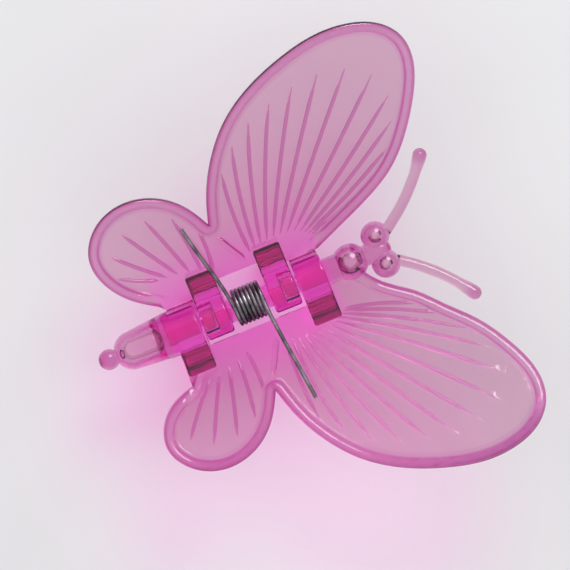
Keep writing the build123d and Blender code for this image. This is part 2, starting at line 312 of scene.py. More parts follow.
ROOT_X = 2.2
RIGHT_JOIN_X = 0.675
LEFT_JOIN_X = 0.9
RIGHT_ROOT = [
    (RIGHT_JOIN_X, -7.35), (RIGHT_JOIN_X, -4.775), (ROOT_X, -4.775),
    (ROOT_X, 4.775), (RIGHT_JOIN_X, 4.775), (RIGHT_JOIN_X, 9.1),
]
LEFT_ROOT = [
    (ROOT_X, -7.0), (ROOT_X, -4.5), (LEFT_JOIN_X, -4.5), (LEFT_JOIN_X, -1.99), (ROOT_X, -1.99),
    (ROOT_X, 1.99), (LEFT_JOIN_X, 1.99), (LEFT_JOIN_X, 4.5), (ROOT_X, 4.5), (ROOT_X, 7.0),
]
right_half = wing_plate("right_moulding", right_edges, RIGHT_ROOT)
left_half = wing_plate("left_moulding", left_edges, LEFT_ROOT)
tell(right_half)
tell(left_half)


# %% [markdown]
# The hinge's knuckles, the head and the tail are all round about one line. A lathe
# makes the head and the tail: half an outline is drawn beside the line and spun once
# round it. The spin merges its last step with its first, which closes the seam, and
# places on the line itself become poles. A knuckle is a plain bar, a cylinder whose two
# rims get a small bevel, as a moulded edge has one.

# %% Helpers for round shapes
ROUND_STEPS = 64


def lathe(name, outline):
    """A closed solid spun about the hinge's axis from places (along it, out from it)."""
    bm = bmesh.new()
    verts = [bm.verts.new(HINGE + Vector((0, along, out))) for along, out in outline]
    edges = [bm.edges.new(pair) for pair in zip(verts, verts[1:])]
    bmesh.ops.spin(
        bm, geom=verts + edges, cent=HINGE, axis=(0, 1, 0), angle=2 * math.pi,
        steps=ROUND_STEPS, use_merge=True,
    )
    return shape(name, bm)


def round_arc(centre, radius, start, end, count=12):
    """Places on an arc about a point of the axis, from one angle to another."""
    angles = [math.radians(start + (end - start) * i / count) for i in range(count + 1)]
    return [(centre - radius * math.cos(a), radius * math.sin(a)) for a in angles]


def bar(name, radius, start, end, edge):
    """A round bar along the hinge's axis with rounded rims."""
    bm = bmesh.new()
    half = (end - start) / 2
    bmesh.ops.create_cone(
        bm, cap_ends=True, segments=ROUND_STEPS, radius1=radius, radius2=radius, depth=2 * half
    )
    rims = [e for e in bm.edges if abs(e.verts[0].co.z - e.verts[1].co.z) < half]
    bmesh.ops.bevel(
        bm, geom=rims, offset=edge, offset_type="OFFSET", segments=4, profile=0.5,
        affect="EDGES", material=-1,
    )
    bmesh.ops.rotate(bm, verts=bm.verts, matrix=Matrix.Rotation(math.radians(90), 3, "X"))
    bmesh.ops.translate(bm, verts=bm.verts, vec=HINGE + Vector((0, start + half, 0)))
    return shape(name, bm)


# %% [markdown]
# The hinge has no pin. The right half's two outer knuckles carry moulded studs that snap
# into sockets in the left half's two inner knuckles, and two short bosses between these
# hold the spring's coil. A stud or a boss starts inside its knuckle, and a socket's cut
# runs on past the knuckle's face, so that none of them ends in the plane of that face.
# A boss stops short of the socket behind it, which it would fill otherwise.

# %% The hinge's sizes
KNUCKLE_RADIUS = 1.85
KNUCKLE_EDGE = 0.24
INNER = (2.0, 4.5)
OUTER = (4.75, 7.35)
STUD_RADIUS = 0.9
STUD_END = 3.35
STUD_EDGE = 0.25
SOCKET_RADIUS = 0.96
SOCKET_END = 3.15
SOCKET_EDGE = 0.1
BOSS_RADIUS = 1.13
BOSS_END = 1.2
BOSS_EDGE = 0.25
BOSS_SHORT = 0.3
OVERRUN = 1.0
print("the knuckles leave", INNER[0] * 2, "mm for the coil")


# %% [markdown]
# A claw is a strap bent round the stem. It starts as one small face beside the stem,
# which is spun about the stem's middle to the claw's tip. Its outside isn't quite round:
# it thins towards the tip, so the outer corners are moved in after the spin. Above the
# stem the first face is extruded on, in a few steps, up to the hinge. Then the sharp
# edges are bevelled, and a flat foot is cut where the clip stands.

# %% The claws
STEM_RADIUS = 3.0
CLAW_OUTER = 4.25
CLAW_TIP = 0.85
CLAW_WRAP = 117
FOOT = -4.0
CLAW_EDGE = 0.2
CLAW_STEPS = 26
THIN_FROM = 70
SHARP_ANGLE = math.radians(40)
WEB_STEPS = [(20, 1.4), (40, 2.9), (60, 4.3)]
WEB_RISE = 0.5
CORNER_MARGIN = 0.1


def claw(name, start, end):
    """A curved claw and the web that hangs it from its knuckle."""
    bm = bmesh.new()
    corners = [(STEM_RADIUS, start), (CLAW_OUTER, start), (CLAW_OUTER, end), (STEM_RADIUS, end)]
    first = bm.faces.new([bm.verts.new((x, y, 0)) for x, y in corners])
    bmesh.ops.spin(
        bm, geom=[first], cent=(0, 0, 0), axis=(0, 1, 0), angle=math.radians(CLAW_WRAP),
        steps=CLAW_STEPS,
    )
    for vert in bm.verts:
        out = math.hypot(vert.co.x, vert.co.z)
        if out > STEM_RADIUS + CORNER_MARGIN:
            angle = math.degrees(math.atan2(-vert.co.z, vert.co.x))
            thickness = CLAW_OUTER - STEM_RADIUS
            thin = soft_step(THIN_FROM, CLAW_WRAP, angle) * (thickness - CLAW_TIP)
            size = (STEM_RADIUS + thickness - thin) / out
            vert.co.x *= size
            vert.co.z *= size
    top = min(bm.faces, key=lambda f: sum(abs(v.co.z) for v in f.verts))
    heights = []
    for angle, outer_z in WEB_STEPS:
        up = math.radians(angle)
        heights.append((STEM_RADIUS * math.cos(up), STEM_RADIUS * math.sin(up), outer_z))
    for inner_x, inner_z, outer_z in [*heights, (0.0, HINGE.z, HINGE.z + WEB_RISE)]:
        raised = bmesh.ops.extrude_face_region(bm, geom=[top])["geom"]
        bmesh.ops.delete(bm, geom=[top], context="FACES_ONLY")
        top = next(g for g in raised if isinstance(g, bmesh.types.BMFace))
        for vert in top.verts:
            if vert.co.x > CLAW_OUTER - CORNER_MARGIN:
                vert.co.z = outer_z
            else:
                vert.co.x, vert.co.z = inner_x, inner_z
    bmesh.ops.recalc_face_normals(bm, faces=bm.faces)
    walls = [edge for edge in bm.edges if len(edge.link_faces) == 2]
    sharp = [edge for edge in walls if edge.calc_face_angle() > SHARP_ANGLE]
    bmesh.ops.bevel(
        bm, geom=sharp, offset=CLAW_EDGE, offset_type="OFFSET", segments=3, profile=0.5,
        affect="EDGES", material=-1, clamp_overlap=True,
    )
    cut = bmesh.ops.bisect_plane(
        bm, geom=bm.verts[:] + bm.edges[:] + bm.faces[:], plane_co=(0, 0, FOOT),
        plane_no=(0, 0, -1), clear_outer=True,
    )
    rim = [g for g in cut["geom_cut"] if isinstance(g, bmesh.types.BMEdge)]
    bmesh.ops.contextual_create(bm, geom=rim)
    return shape(name, bm)


# %% [markdown]
# The butterfly's head is a ball on a neck, with two smaller balls for eyes. Each feeler
# is a bent rod that is thicker at its tip. A rod is made of rings: each is a circle set
# square to the rod's line, and neighbouring rings are bridged. The same helper makes
# the veins and the spring's wire later on. Head, eyes and tail are hollow from below,
# as thick plastic would sink in while it cools, and that keeps their middles pale.

# %% The helper for rods
def rod(name, line, radii, sides=24):
    """A closed rod along a line of places, with a radius at each place."""
    bm = bmesh.new()
    ways = [(b - a).normalized() for a, b in zip(line, line[1:])]
    ways = [ways[0]] + [(a + b).normalized() for a, b in zip(ways, ways[1:])] + [ways[-1]]
    side = ways[0].orthogonal().normalized()
    rings = []
    for place, way, radius in zip(line, ways, radii):
        side = (side - way * side.dot(way)).normalized()
        turn = Matrix((side, way.cross(side), way)).transposed().to_4x4()
        ring = bmesh.ops.create_circle(
            bm, segments=sides, radius=radius, matrix=Matrix.Translation(place) @ turn
        )["verts"]
        rings.append(list({e for v in ring for e in v.link_edges}))
    for first, second in zip(rings, rings[1:]):
        bmesh.ops.bridge_loops(bm, edges=first + second)
    bmesh.ops.holes_fill(bm, edges=rings[0] + rings[-1], sides=sides)
    return shape(name, bm)


def three_point_arc(start, middle, end, count):
    """Places on the arc through three places."""
    a, b = middle - start, end - start
    normal = a.cross(b)
    centre = start + (b.cross(normal) * -a.length_squared + a.cross(normal) * b.length_squared) / (
        -2 * normal.length_squared
    )
    first = start - centre
    whole = first.angle(middle - centre) + (middle - centre).angle(end - centre)
    axis = normal.normalized()
    return [centre + Matrix.Rotation(whole * i / count, 3, axis) @ first for i in range(count + 1)]


# %% The head, the feelers and the tail
HEAD_RADIUS = 1.65
HEAD_Y = 9.8
NECK_RADIUS = 1.2
BROW_RADIUS = 0.95
EYE_RADIUS = 1.3
EYE_PLACE = Vector((1.35, 12.7, HINGE.z))
FEELER_ROOT = Vector((0.79, 12.7, HINGE.z))
FEELER_TIP = Vector((6.6, 19.0, HINGE.z + 1.3))
FEELER_RADIUS = 0.5
FEELER_TIP_RADIUS = 0.64
FEELER_BEND = (0.42, 0.54, 0.4)
FEELER_STEPS = 30
FEELER_SWELL = 0.8
FEELER_TIP_STEP = 15
BALL_STEPS = 48
TAIL_RADIUS = 2.1
TAIL_END_RADIUS = 1.75
TAIL_REACH = 12.9
BEAD_RADIUS = 0.947
BEAD_Y = 13.45
CORE_WALL = 0.85
CORE_STEP = 7.5
KNUCKLE_OVERLAP = 0.2


def body_core():
    """The neck, the head's ball and the core between the eyes."""
    neck = math.degrees(math.asin(NECK_RADIUS / HEAD_RADIUS))
    brow = 180 - math.degrees(math.asin(BROW_RADIUS / HEAD_RADIUS))
    start = OUTER[1] - KNUCKLE_OVERLAP
    outline = [(start, 0), (start, NECK_RADIUS)]
    outline += round_arc(HEAD_Y, HEAD_RADIUS, neck, brow, 24)
    outline += round_arc(EYE_PLACE.y, BROW_RADIUS, 90, 180)[:-1]
    return lathe("core", [*outline, (EYE_PLACE.y + BROW_RADIUS, 0)])


def feeler(side):
    """One bent feeler with its thicker, round tip."""
    way = FEELER_TIP - FEELER_ROOT
    bend = FEELER_ROOT + Vector([along * share for along, share in zip(way, FEELER_BEND)])
    line = three_point_arc(FEELER_ROOT, bend, FEELER_TIP, FEELER_STEPS)
    swell = [soft_step(FEELER_SWELL, 1.0, i / FEELER_STEPS) for i in range(FEELER_STEPS + 1)]
    radii = [FEELER_RADIUS + (FEELER_TIP_RADIUS - FEELER_RADIUS) * s for s in swell]
    ahead = (line[-1] - line[-2]).normalized()
    for angle in range(FEELER_TIP_STEP, 90, FEELER_TIP_STEP):
        line.append(FEELER_TIP + ahead * FEELER_TIP_RADIUS * math.sin(math.radians(angle)))
        radii.append(FEELER_TIP_RADIUS * math.cos(math.radians(angle)))
    if side < 0:
        line = [Vector((-p.x, p.y, p.z)) for p in line]
    return rod("feeler", line, radii)


def tail():
    """The tail, which narrows a little towards its round end."""
    start = KNUCKLE_OVERLAP - OUTER[1]
    outline = [(start, 0), (start, TAIL_RADIUS)]
    end = round_arc(TAIL_REACH - TAIL_END_RADIUS, TAIL_END_RADIUS, 90, 180)[:-1]
    outline += [(-along, out) for along, out in end]
    return lathe("tail", [*outline, (-TAIL_REACH, 0)])


def ball(name, radius, x, y):
    """A ball at a place of the body."""
    bm = bmesh.new()
    bmesh.ops.create_uvsphere(
        bm, u_segments=BALL_STEPS, v_segments=BALL_STEPS // 2, radius=radius
    )
    bmesh.ops.translate(bm, verts=bm.verts, vec=HINGE + Vector((x, y, 0)))
    return shape(name, bm)


def core(radius, x, start, stop):
    """The hollow of a ball or, from start to stop, of the tail: round above, open below."""
    bm = bmesh.new()
    angles = [math.radians(90 - CORE_STEP * i) for i in range(round(90 / CORE_STEP) + 1)]
    outline = [(radius * math.cos(a), radius * math.sin(a)) for a in angles]
    outline += [(radius, -TAIL_RADIUS - OVERRUN), (0, -TAIL_RADIUS - OVERRUN)]
    verts = [bm.verts.new((out, 0, up)) for out, up in outline]
    edges = [bm.edges.new(pair) for pair in zip(verts, verts[1:])]
    bmesh.ops.spin(
        bm, geom=verts + edges, axis=(0, 0, 1), angle=2 * math.pi, steps=ROUND_STEPS, use_merge=True
    )
    for vert in bm.verts:
        if abs(vert.co.y) > MERGE:
            vert.co.y += math.copysign((stop - start) / 2, vert.co.y)
    bmesh.ops.translate(bm, verts=bm.verts, vec=HINGE + Vector((x, (start + stop) / 2, 0)))
    return shape("core", bm)


# %% [markdown]
# A vein is a thin rib on the plate. It is a rod that lies half sunk in the wing's top.
# Over its first fifth it rises and thickens, and over its last three tenths it thins
# and dives under again, so that it seems to grow out of the plate. The veins fan out
# from beside the hinge, bend a little away from the fan's middle and end short of the
# edge, by a gap or by a share of their way, whichever is more. A fan is given by its
# first and last vein: where each starts along the hinge, and at which share of the
# wing's edge it points. One thicker rib, the crease, carries the rim on from the notch
# between the wings.

# %% The veins' sizes
VEIN_RADIUS = 0.18
VEIN_ROOT_X = 3.5
VEIN_BOW = 0.045
VEIN_GAP = 1.35
VEIN_GAP_SHARE = 0.09
FORE_FAN = {"count": 13, "roots": (7.1, 1.94), "aims": (0.16, 0.86), "lean": 0.0}
HIND_FAN = {"count": 6, "roots": (-1.9, -6.3), "aims": (0.10, 0.72), "lean": 1.4}
CREASE_RADIUS = 0.3
CREASE_ROOT_Y = 1.29
CREASE_GAP = 0.9
RIB_THIN = 0.2
RIB_COVER = 0.02
RIB_RISEN = 0.2
RIB_FALLS = 0.7
RIB_SIDES = 12
print("a vein stands", VEIN_RADIUS, "mm over the plate")


# %% The veins
def vein_line(start, end, bow, count=24):
    """Places in plan on a line that bows by a share of its length."""
    way = end - start
    middle = (start + end) / 2 + Vector((-way.y, way.x)) * bow
    line = []
    for i in range(count + 1):
        t = i / count
        early, late = 2 * t * t - 3 * t + 1, 2 * t * t - t
        line.append(start * early + middle * (4 * t - 4 * t * t) + end * late)
    return line


def vein_lines(edges):
    """The middle lines of all veins of a fore and hind wing."""
    found = []
    for edge, fan in zip(edges, (FORE_FAN, HIND_FAN)):
        roots, aims = fan["roots"], fan["aims"]
        for i in range(fan["count"]):
            part = i / (fan["count"] - 1)
            root_y = roots[0] + (roots[1] - roots[0]) * part
            start = Vector((VEIN_ROOT_X + fan["lean"] * part, root_y))
            way = on_edge(edge, aims[0] + (aims[1] - aims[0]) * part) - start
            reach = 1 - max(VEIN_GAP / way.length, VEIN_GAP_SHARE)
            found.append(vein_line(start, start + way * reach, VEIN_BOW * (1 - 2 * part)))
    return found


def rib(line, radius):
    """A rod half sunk in the wing's top along a line, with both ends buried."""
    count = len(line) - 1
    places, radii = [], []
    for i, spot in enumerate(line):
        out = soft_step(0, RIB_RISEN, i / count) * (1 - soft_step(RIB_FALLS, 1, i / count))
        size = radius * (RIB_THIN + (1 - RIB_THIN) * out)
        sunk = (1 - out) * (size + RIB_COVER)
        places.append(Vector((spot.x, spot.y, wing_top(spot.x) - sunk)))
        radii.append(size)
    return rod("rib", places, radii, sides=RIB_SIDES)


right_veins, left_veins = vein_lines(right_edges), vein_lines(left_edges)
crease = vein_line(Vector((VEIN_ROOT_X, CREASE_ROOT_Y)), CUSP - Vector((CREASE_GAP, 0)), 0.0)
print("veins on a side:", len(right_veins))


# %% [markdown]
# Now each half is fused to one solid. The order doesn't matter for a union, but the
# sockets and the notch for the coil are cut after the knuckles are on, and the bosses
# come after the notch, because they stand in it. The left half is worked out on the
# right side too, and is mirrored when it is whole, which turns it inside out, so its
# faces are flipped back.

# %% Fuse the right half
for sign in (-1, 1):
    ends = sorted((sign * OUTER[0], sign * OUTER[1]))
    fuse(right_half, bar("knuckle", KNUCKLE_RADIUS, *ends, KNUCKLE_EDGE))
    stud = sorted((sign * STUD_END, sign * (OUTER[0] + OVERRUN)))
    fuse(right_half, bar("stud", STUD_RADIUS, *stud, STUD_EDGE))
    fuse(right_half, claw("claw", *ends))
    fuse(right_half, ball("eye", EYE_RADIUS, sign * EYE_PLACE.x, EYE_PLACE.y))
    fuse(right_half, feeler(sign))
fuse(right_half, body_core())
fuse(right_half, tail())
fuse(right_half, ball("bead", BEAD_RADIUS, 0, -BEAD_Y))
fuse(right_half, core(HEAD_RADIUS - CORE_WALL, 0, HEAD_Y, HEAD_Y), "DIFFERENCE")
eye_core = EYE_RADIUS - CORE_WALL
for sign in (-1, 1):
    fuse(right_half, core(eye_core, sign * EYE_PLACE.x, EYE_PLACE.y, EYE_PLACE.y), "DIFFERENCE")
tail_core = TAIL_END_RADIUS - CORE_WALL
tail_stop = TAIL_END_RADIUS - TAIL_REACH
fuse(right_half, core(tail_core, 0, tail_stop, -OUTER[1] - CORE_WALL - tail_core), "DIFFERENCE")
for line in right_veins:
    fuse(right_half, rib(line, VEIN_RADIUS))
fuse(right_half, rib(crease, CREASE_RADIUS))
tell(right_half)

# %% Fuse the left half
for sign in (-1, 1):
    ends = sorted((sign * INNER[0], sign * INNER[1]))
    fuse(left_half, bar("knuckle", KNUCKLE_RADIUS, *ends, KNUCKLE_EDGE))
    fuse(left_half, claw("claw", *ends))
    socket = sorted((sign * SOCKET_END, sign * (INNER[1] + OVERRUN)))
    fuse(left_half, bar("socket", SOCKET_RADIUS, *socket, SOCKET_EDGE), "DIFFERENCE")
NOTCH_REACH = 3.1
bm = bmesh.new()
bmesh.ops.create_cube(bm, size=1)
bmesh.ops.scale(bm, verts=bm.verts, vec=(2 * NOTCH_REACH, 2 * INNER[0], 2 * KNUCKLE_RADIUS))
bmesh.ops.translate(bm, verts=bm.verts, vec=HINGE)
fuse(left_half, shape("notch", bm), "DIFFERENCE")
for sign in (-1, 1):
    boss = sorted((sign * BOSS_END, sign * (SOCKET_END - BOSS_SHORT)))
    fuse(left_half, bar("boss", BOSS_RADIUS, *boss, BOSS_EDGE))
for line in left_veins:
    fuse(left_half, rib(line, VEIN_RADIUS))
fuse(left_half, rib(crease, CREASE_RADIUS))
left_half.data.transform(Matrix.Scale(-1, 4, (1, 0, 0)))
left_half.data.flip_normals()
tell(left_half)


# %% [markdown]
# The spring is one steel wire. The real one is wound with its turns touching, and each
# leg leaves the coil at its top and lies on a wing. The wire's line is a helix with two
# legs that soon run straight, and the rod helper above gives it its thickness. Here the
# turns are set a hair apart, so that two surfaces never share one place.

# %% The spring's line
WIRE_RADIUS = 0.18
COIL_RADIUS = 1.53
PITCH = 0.375
TURNS = 7
STEPS_PER_TURN = 40
LEFT_LEG_END = Vector((-8.5, -3.1))
RIGHT_LEG_END = Vector((9.8, 2.4))
LEG_GAP = 0.08
LEG_SWING = 0.5
WIRE_SIDES = 16


def leg_angle(reach, height):
    """The angle at which a straight leg rises from the coil's top to a height at its end."""
    rise = height - HINGE.z
    return math.acos(COIL_RADIUS / math.hypot(rise, reach)) - math.atan2(reach, rise)


def coil_place(angle, y):
    """A place on the coil, at an angle round the hinge's axis."""
    return HINGE + Vector((math.cos(angle) * COIL_RADIUS, y, math.sin(angle) * COIL_RADIUS))


left_rest = wing_top(-LEFT_LEG_END.x) + VEIN_RADIUS + LEG_GAP + WIRE_RADIUS
right_rest = wing_top(RIGHT_LEG_END.x) + VEIN_RADIUS + LEG_GAP + WIRE_RADIUS
left_lift = leg_angle(-LEFT_LEG_END.x, left_rest)
right_lift = leg_angle(RIGHT_LEG_END.x, right_rest)
turned = 2 * math.pi * TURNS - left_lift - right_lift
count = round(STEPS_PER_TURN * TURNS)
half_length = PITCH * turned / (4 * math.pi)
coil = []
for i in range(count + 1):
    share = i / count
    angle = math.pi / 2 - left_lift - turned * share
    coil.append(coil_place(angle, half_length * (2 * share - 1)))


def leg(root, end, height, steps=10):
    """Places along a leg, which swings to its side near the coil and then runs straight."""
    tip = Vector((end.x, end.y, height))
    places = []
    for i in range(1, steps + 1):
        share = i / steps
        place = root.lerp(tip, share)
        place.y = root.y + (tip.y - root.y) * share ** (1 + LEG_SWING * (1 - share))
        places.append(place)
    return places


left_leg = leg(coil[0], LEFT_LEG_END, left_rest)
right_leg = leg(coil[-1], RIGHT_LEG_END, right_rest)
wire = left_leg[::-1] + coil + right_leg
spring = rod("spring_wire", wire, [WIRE_RADIUS] * len(wire), sides=WIRE_SIDES)
print("the coil is", round(2 * half_length + 2 * WIRE_RADIUS, 2), "mm long")
tell(spring)


# %% [markdown]
# The rim, the veins, the feelers' ends and the bead at the tail look deeper in colour
# than the plate, as light takes a longer way along them. On details this small the
# thickness alone hardly shows that, so that shade is painted on: each face corner is
# given a number for how much painted shade it gets. It is highest at the wing's very
# edge, and a fainter painted dark line runs where the rim meets the plate. The number is
# an attribute of the mesh, which moves with the piece, and the plastic's material reads
# it later. The left half is measured as if it were folded over to the right, where the
# outlines and the veins' lines lie.
# The veins are searched as one long line, and its long steps, which only lead from one
# vein to the next, are left out.

# %% The painted shade's depths and where they fade
PAINTED_SHADE_ATTRIBUTE = "painted_shade"
OUTLINE_SKIP = 5
# Painted shade: a dark line along the wing's very edge and a fainter one where the rim meets the
# plate.
OUTER_PAINTED_LINE = {"depth": 1.15, "reach": 0.42, "fade": 0.3}
INNER_PAINTED_LINE = {"depth": 0.4, "middle": 1.0, "width": 0.1}
# Painted shade on the veins, and on the feelers' ends and the bead at the tail.
VEIN_PAINTED_SHADE = 0.85
VEIN_LIFT = 0.02
VEIN_STEP_LIMIT = 2
END_PAINTED_SHADE = 0.4
END_FADE = 0.6
FEELER_END = 0.9
BEAD_START = 12.5


def folded(mesh_items, prop, count):
    """A property of a mesh's items as rows of x, y and z, with the left folded to the right."""
    rows = np.empty(count * 3)
    mesh_items.foreach_get(prop, rows)
    rows = rows.reshape(-1, 3)
    rows[:, 0] = np.abs(rows[:, 0])
    return rows


def rim_distances(edges, spots):
    """How far places lie from a side's outline in plan."""
    outline = np.concatenate([edge[1][::OUTLINE_SKIP] for edge in edges])
    return np.array([np.hypot(*(outline - spot[:2]).T).min() for spot in spots])


def on_veins(centres, edges, veins):
    """1 for each face centre that lies on a vein, and 0 for the others."""
    lines = np.array([tuple(spot) for line in veins for spot in line])
    along = np.roll(lines, -1, axis=0) - lines
    joined = np.hypot(*along.T) <= VEIN_STEP_LIMIT
    lines, along = lines[joined], along[joined]
    found = np.zeros(len(centres))
    for i, spot in enumerate(centres):
        if spot[2] > wing_top(spot[0]) + VEIN_LIFT:
            share = np.clip(((spot[:2] - lines) * along).sum(1) / (along**2).sum(1), 0, 1)
            away = np.hypot(*(lines + along * share[:, None] - spot[:2]).T).min()
            if away < VEIN_RADIUS:
                found[i] = rim_distances(edges, [spot])[0] > RIM_SECTION[0][0]
    return found


# %% How much painted shade each corner gets
def painted_shade(obj, edges, veins):
    """Writes on each face corner how much painted shade it gets there."""
    mesh = obj.data
    spots = folded(mesh.vertices, "co", len(mesh.vertices))
    rim = rim_distances(edges, spots)
    outer = (OUTER_PAINTED_LINE["reach"] - rim) / OUTER_PAINTED_LINE["fade"]
    soft = OUTER_PAINTED_LINE["depth"] * np.clip(outer, 0, 1)
    inner = (rim - INNER_PAINTED_LINE["middle"]) / INNER_PAINTED_LINE["width"]
    soft = np.maximum(soft, INNER_PAINTED_LINE["depth"] * np.exp(-(inner**2)))
    feeler_end = np.hypot(spots[:, 0] - FEELER_TIP.x, spots[:, 1] - FEELER_TIP.y)
    ends = np.clip((FEELER_END - feeler_end) / END_FADE, 0, 1)
    ends += np.clip((-BEAD_START - spots[:, 1]) / END_FADE, 0, 1)
    soft = np.maximum(soft, END_PAINTED_SHADE * ends)
    found = on_veins(folded(mesh.polygons, "center", len(mesh.polygons)), edges, veins)
    corners = np.empty(len(mesh.loops), int)
    mesh.loops.foreach_get("vertex_index", corners)
    sizes = np.empty(len(mesh.polygons), int)
    mesh.polygons.foreach_get("loop_total", sizes)
    # Each corner gets the deepest painted shade of the rim lines, the ends and the veins.
    value = np.maximum(soft[corners], np.repeat(found * VEIN_PAINTED_SHADE, sizes))
    mesh.attributes.new(PAINTED_SHADE_ATTRIBUTE, "FLOAT", "CORNER").data.foreach_set("value", value)
    print(obj.name, "faces on veins:", int(found.sum()))


painted_shade(right_half, right_edges, right_veins)
painted_shade(left_half, left_edges, left_veins)


# %% [markdown]
# Each whole shape is now shaded smooth, except across edges that really are sharp, so
# that bevels and veins catch the light as one surface. Where a vein's thin tip meets the
# plate, a plain average would tilt the shading of the wide face beside it and leave a
# bright triangle. The Weighted Normal modifier lets large faces count for more. It
# compares areas, which are far too small in metres, so it comes before the scaling.
# Then each piece goes down to metres, and each half goes on to the body that it moves
# with. The spring keeps its place and goes on no body.

# %% Put the pieces on their bodies
def finish_piece(obj, name, node, sharp):
    """Shades a piece, scales it to metres and hides the CAD node that it stands for."""
    obj.data.shade_smooth()
    obj.data.set_sharp_from_angle(angle=math.radians(sharp))
    even = obj.modifiers.new("even_normals", "WEIGHTED_NORMAL")
    even.keep_sharp = True
    even.thresh = 0
    apply_modifiers(obj)
    obj.name = obj.data.name = name
    obj.data.transform(Matrix.Scale(MM, 4))
    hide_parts(node)


finish_piece(right_half, "right_moulding", "right_half", sharp=38)
finish_piece(left_half, "left_moulding", "left_half", sharp=38)
finish_piece(spring, "spring_wire", "torsion_spring", sharp=60)
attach(right_half, "right")
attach(left_half, "left")
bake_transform(spring)
print("pieces", [obj.name for obj in (right_half, left_half, spring)])


# %% [markdown]
# No moulded or drawn surface is even. Clear plastic keeps faint swirls from its flow
# into the mould and dull patches from handling, and wire keeps dark and bright patches
# from its drawing. Both come from the same idea, a noise that is stretched to a low and
# a high value, so that idea is a node group with named inputs, and each material uses
# it with values of its own.

# %% The shared node group
NOISE_LOW = 0.35
NOISE_HIGH = 0.65


def patches_group():
    """A node group that puts out a patchy value between a low and a high one."""
    group = bpy.data.node_groups.new("surface_patches", "ShaderNodeTree")
    for socket, default in (("Scale", 500.0), ("Detail", 3.0), ("Low", 0.0), ("High", 1.0)):
        made = group.interface.new_socket(socket, in_out="INPUT", socket_type="NodeSocketFloat")
        made.default_value = default
    group.interface.new_socket("Vector", in_out="INPUT", socket_type="NodeSocketVector")
    group.interface.new_socket("Value", in_out="OUTPUT", socket_type="NodeSocketFloat")
    nodes, links = group.nodes, group.links
    given = nodes.new("NodeGroupInput")
    noise = nodes.new("ShaderNodeTexNoise")
    spread = nodes.new("ShaderNodeMapRange")
    spread.inputs["From Min"].default_value = NOISE_LOW
    spread.inputs["From Max"].default_value = NOISE_HIGH
    result = nodes.new("NodeGroupOutput")
    links.new(given.outputs["Vector"], noise.inputs["Vector"])
    links.new(given.outputs["Scale"], noise.inputs["Scale"])
    links.new(given.outputs["Detail"], noise.inputs["Detail"])
    links.new(noise.outputs["Fac"], spread.inputs["Value"])
    links.new(given.outputs["Low"], spread.inputs["To Min"])
    links.new(given.outputs["High"], spread.inputs["To Max"])
    links.new(spread.outputs["Result"], result.inputs["Value"])
    return group


PATCHES = patches_group()
print("the group", PATCHES.name, "has", len(PATCHES.nodes), "nodes")


def patches(tree, vector, scale, detail, low, high):
    """Places the patches group in a material and returns its value."""
    node = tree.nodes.new("ShaderNodeGroup")
    node.node_tree = PATCHES
    values = {"Scale": scale, "Detail": detail, "Low": low, "High": high}
    for name, value in values.items():
        node.inputs[name].default_value = value
    tree.links.new(vector, node.inputs["Vector"])
    return node.outputs["Value"]


# %% Helpers for materials
def new_material(name):
    """An empty material and its shader, its output and its Object coordinates."""
    material = bpy.data.materials.new(name)
    material.use_nodes = True
    tree = material.node_tree
    place = tree.nodes.new("ShaderNodeTexCoord").outputs["Object"]
    return material, tree, tree.nodes["Principled BSDF"], tree.nodes["Material Output"], place


def two_tones(tree, value, low, high):
    """A colour that goes from one tone to another with a value."""
    ramp = tree.nodes.new("ShaderNodeValToRGB")
    ramp.color_ramp.elements[0].color = low
    ramp.color_ramp.elements[1].color = high
    tree.links.new(value, ramp.inputs["Fac"])
    return ramp.outputs["Color"]


def bump(tree, shader, height, strength, distance):
    """Makes a shader's surface look as if it rose and sank with a value."""
    node = tree.nodes.new("ShaderNodeBump")
    node.inputs["Strength"].default_value = strength
    node.inputs["Distance"].default_value = distance
    tree.links.new(height, node.inputs["Height"])
    tree.links.new(node.outputs["Normal"], shader.inputs["Normal"])


# %% [markdown]
# The plastic is clear, and its colour lies inside it: a thin wing is pale pink, and a
# claw seen along its depth is deep magenta. Paint on the surface can't do that, but a
# Volume Absorption can, because it takes more light the longer the way through is. The
# surface adds only a pale tone to the light that passes. Near the hinge that tone is
# painted pinker, as painted light for the pink light that has come through the thick
# knuckles and claws. Where the mesh is marked it is painted deeper, as painted shade. The
# surface also has a little haze and a faint ripple. Glass blocks a lamp's light in a path
# tracer, so for shadow rays alone the surface is transparent, and the volume colours what
# passes.

# %% The plastic's colours
PALE_TONE = (0.80, 0.69, 0.69, 1)
# Painted light: the pink tone near the hinge stands for light that came through the thick knuckles
# and claws.
PAINTED_HINGE_LIGHT = (0.97, 0.46, 0.84, 1)
# Painted shade: the deep magenta tone for the marked rim, veins and ends.
PAINTED_SHADE_TONE = (0.60, 0.10, 0.42, 1)
SHADOW_TONE = (0.96, 0.88, 0.93, 1)
INSIDE_COLOUR = (0.94, 0.0, 0.80, 1)
INSIDE_DENSITY = 400
PAINTED_HINGE_LIGHT_REACH = {"X": (0.002, 0.0085), "Y": (0.0072, 0.0082)}
green_kept = math.exp(-INSIDE_DENSITY * WING_THICKNESS * MM)
print("a wing lets", round(green_kept, 2), "of the green light through")


# %% Masks and mixes for the plastic
def fade_out(tree, value, full, gone):
    """1 up to a distance from the middle, and 0 from a larger distance on."""
    size = tree.nodes.new("ShaderNodeMath")
    size.operation = "ABSOLUTE"
    fade = tree.nodes.new("ShaderNodeMapRange")
    fade.interpolation_type = "SMOOTHSTEP"
    limits = {"From Min": full, "From Max": gone, "To Min": 1.0, "To Max": 0.0}
    for name, limit in limits.items():
        fade.inputs[name].default_value = limit
    tree.links.new(value, size.inputs[0])
    tree.links.new(size.outputs["Value"], fade.inputs["Value"])
    return fade.outputs["Result"]


